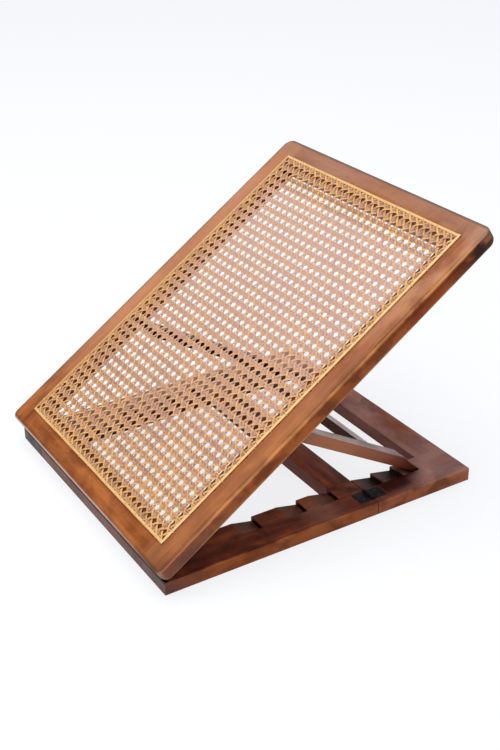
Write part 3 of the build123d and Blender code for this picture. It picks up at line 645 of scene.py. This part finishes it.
def weaveLines():
    chance = random.Random(weave["seed"])
    lastColumn, lastRow = weave["columns"], weave["rows"]
    pairAcross, pairAlong = weave["pairHalf"] * mm / pitchAcross, weave["pairHalf"] * mm / pitchAlong
    stray, alongShare = weave["wander"]

    def strand(start, end, wavePhase, shades):
        shift = chance.uniform(-stray, stray)
        ends = [(x + shift, y + shift * alongShare, 0) for x, y in (start, end)]
        return {"points": ends, "wavePhase": wavePhase, "strandShade": chance.uniform(*shades)}

    plain, diagonal = weave["plainShade"], weave["diagonalShade"]
    families = {"caneUprights": [], "caneCrossways": [], "caneRising": [], "caneFalling": []}
    for k in range(weave["columns"] - 1):
        for side, wavePhase in ((-1, math.pi), (1, 0.0)):
            c = k + 0.5 + side * pairAcross
            families["caneUprights"].append(strand((c, -1), (c, lastRow), wavePhase, plain))
    for j in range(weave["rows"] - 1):
        for side, wavePhase in ((-1, 0.0), (1, math.pi)):
            r = j + 0.5 + side * pairAlong
            families["caneCrossways"].append(strand((-1, r), (lastColumn, r), wavePhase, plain))
    for step in range(-lastRow - 1, lastColumn + 1):
        offset = step + 0.5
        first, last = max(-1, -1 - offset), min(lastRow, lastColumn - offset)
        if last - first > weave["shortest"]:
            families["caneRising"].append(strand((first + offset, first), (last + offset, last), math.pi / 2, diagonal))
            mirror = weave["columns"] - 1
            families["caneFalling"].append(
                strand((mirror - first - offset, first), (mirror - last - offset, last), -math.pi / 2, diagonal))
    return families


weaveTree = makeWeaveTree()
for name, lines in weaveLines().items():
    diagonal = name in ("caneRising", "caneFalling")
    piece = growPiece(name, pathMesh(name, lines, ("wavePhase", "strandShade")), weaveTree, {
        "Pitch": (pitchAcross, pitchAlong, 0.0), "Edge Step": (weave["edgeAcross"] * mm, weave["edgeAlong"] * mm, 0.0),
        "Last Opening": (weave["columns"] - 1.0, weave["rows"] - 1.0, 0.0), "Half Width": binderHalf,
        "Weave Height": weave["diagonalHeight" if diagonal else "plainHeight"] * mm,
        "Rest Height": weave["restHeight"] * mm, "Edge Height": weave["edgeHeight"] * mm,
        "Settle From": weave["settle"][0], "Settle": weave["settle"][1],
        "Rows Lead": 0.0 if name == "caneCrossways" else 1.0,
        "Sample Step": weave["diagonalStep" if diagonal else "plainStep"],
        "Strand Width": weave["strandWidth"] * mm, "Strand Thickness": weave["strandThickness"] * mm,
        "Material": strandCane})
    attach(piece, "panel")
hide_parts("cane_sheet")
print("cane woven, openings", round(pitchAcross / mm, 2), "by", round(pitchAlong / mm, 2), "mm apart")


# binder: four wider canes laid over the lines of holes, the side ones over the ends of the others
binder = {"width": 3.7, "thickness": 2.1, "height": 1.15, "overlap": 0.15, "step": 4.0, "stray": 0.6,
          "straySize": 70.0, "strayAxes": (2.0, 2.0, 0.2), "ringPoints": 12, "shades": (0.6, 0.65, 0.2, 0.85)}


def makeBinderTree():
    tree, given = newTree("binderStrip", [("Step", "Float"), ("Stray", "Float"), ("Stray Scale", "Float"),
                                          ("Width", "Float"), ("Thickness", "Float"), ("Material", "Material")])
    line = addNode(tree, "GeometryNodeMeshToCurve", {"Mesh": given["Geometry"]})
    cut = addNode(tree, "GeometryNodeResampleCurve", {"Curve": line, "Length": given["Step"]}, mode="LENGTH")
    noise = addNode(tree, "ShaderNodeTexNoise", {"Vector": addNode(tree, "GeometryNodeInputPosition"),
                                                 "Scale": given["Stray Scale"], "Detail": 1.0}).outputs["Color"]
    centred = addNode(tree, "ShaderNodeVectorMath", {0: noise, 1: (0.5, 0.5, 0.5)}, operation="SUBTRACT")
    level = addNode(tree, "ShaderNodeVectorMath", {0: centred, 1: binder["strayAxes"]}, operation="MULTIPLY")
    shift = addNode(tree, "ShaderNodeVectorMath", {0: level, "Scale": given["Stray"]}, operation="SCALE")
    laid = addNode(tree, "GeometryNodeSetPosition", {"Geometry": cut, "Offset": shift})
    length = addNode(tree, "GeometryNodeSplineParameter").outputs["Length"]
    run = addNode(tree, "GeometryNodeStoreNamedAttribute", {"Geometry": laid, "Name": "strandRun", "Value": length})
    strip = sweep(tree, run, given["Width"], given["Thickness"], binder["ringPoints"])
    finishTree(tree, strip, given["Material"])
    return tree


def makeBinder():
    low, high, beyond = binder["height"] * mm, (binder["height"] + binder["overlap"]) * mm, binder["width"] / 2 * mm
    strips = [[(-binderHalf, end, low), (binderHalf, end, low)] for end in (0.0, caneLength)]
    strips += [[(side, -beyond, high), (side, caneLength + beyond, high)] for side in (-binderHalf, binderHalf)]
    lines = [{"points": strip, "strandShade": shade} for strip, shade in zip(strips, binder["shades"])]
    piece = growPiece("caneBinder", pathMesh("binderLines", lines, ("strandShade",)), makeBinderTree(), {
        "Step": binder["step"] * mm, "Stray": binder["stray"] * mm, "Stray Scale": 1 / (binder["straySize"] * mm),
        "Width": binder["width"] * mm, "Thickness": binder["thickness"] * mm, "Material": binderCane})
    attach(piece, "panel")
    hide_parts("binder_left", "binder_right", "binder_top", "binder_bottom")


makeBinder()


# ties sew the binder down at every second hole; behind the panel the strands pass from hole to hole
ties = {"every": 2, "reach": 2.2, "bulge": 2.3, "rise": 3.3, "sink": 0.0, "width": 1.7, "thickness": 0.5,
        "stray": 0.15, "shades": (0.45, 0.75), "seed": 5}
loops = {"reach": 6.3, "bulge": 5.0, "rise": -0.95, "sink": 0.8, "width": 2.2, "thickness": 0.7,
         "stray": 0.5, "shades": (0.2, 0.7), "seed": 9}
stitch = {"archPoints": 8, "ringPoints": 6, "twist": 0.06}


def makeStitchTree():
    tree, given = newTree("caneStitch", [("Reach", "Float"), ("Bulge", "Float"), ("Rise", "Float"), ("Sink", "Float"),
                                         ("Width", "Float"), ("Thickness", "Float"), ("Material", "Material")])
    ends = [addNode(tree, "ShaderNodeCombineXYZ", {0: given[x], 2: given[z]})
            for x, z in (("Reach", "Sink"), ("Bulge", "Rise"))]
    mirrored = [addNode(tree, "ShaderNodeVectorMath", {0: end, 1: (-1, 1, 1)}, operation="MULTIPLY") for end in ends]
    arch = addNode(tree, "GeometryNodeCurvePrimitiveBezierSegment",
                   {"Resolution": stitch["archPoints"], "Start": mirrored[0], "Start Handle": mirrored[1],
                    "End Handle": ends[1], "End": ends[0]}, mode="POSITION")
    strand = sweep(tree, arch, given["Width"], given["Thickness"], stitch["ringPoints"])
    spots = addNode(tree, "GeometryNodeMeshToPoints", {"Mesh": given["Geometry"]})
    turn = addNode(tree, "GeometryNodeInputNamedAttribute", {"Name": "turn"})
    angles = addNode(tree, "ShaderNodeCombineXYZ", {2: turn})
    placed = addNode(tree, "GeometryNodeInstanceOnPoints", {"Points": spots, "Instance": strand, "Rotation": angles})
    finishTree(tree, placed, given["Material"])
    return tree


# where stitches go: at the holes, across the binder, or between them, along it
def stitchSpots(look, between):
    chance = random.Random(look["seed"])
    columnSpots = [-binderHalf + k * 2 * binderHalf / weave["columns"] for k in range(weave["columns"] + 1)]
    rowSpots = [weave["edgeAlong"] * mm + (row + 0.5) * pitchAlong for row in range(weave["rows"] - 1)]
    spots = []
    for line, onRail in ((columnSpots, True), ([0.0] + rowSpots + [caneLength], False)):
        stops = [(a + b) / 2 for a, b in zip(line, line[1:])] if between else line[1:-1:look["every"]]
        for stop in stops:
            for edge in ((0.0, caneLength) if onRail else (-binderHalf, binderHalf)):
                off = edge + chance.uniform(-1, 1) * look["stray"] * mm
                turn = chance.uniform(-stitch["twist"], stitch["twist"]) + (0 if onRail == between else math.pi / 2)
                shade = chance.uniform(*look["shades"])
                spots.append({"points": [(stop, off, 0) if onRail else (off, stop, 0)], "turn": turn,
                              "strandShade": shade})
    return spots


def makeStitches(name, look, between, height, material):
    spots = pathMesh(name, stitchSpots(look, between), ("turn", "strandShade"))
    spots.transform(Matrix.Translation((0, 0, height)))
    piece = growPiece(name, spots, stitchTree, {
        "Reach": look["reach"] * mm, "Bulge": look["bulge"] * mm, "Rise": look["rise"] * mm, "Sink": look["sink"] * mm,
        "Width": look["width"] * mm, "Thickness": look["thickness"] * mm, "Material": material})
    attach(piece, "panel")


stitchTree = makeStitchTree()
makeStitches("binderTies", ties, False, 0.0, binderCane)
makeStitches("caneLoops", loops, True, panelBack - panelFace, strandCane)
print("binder sewn down")
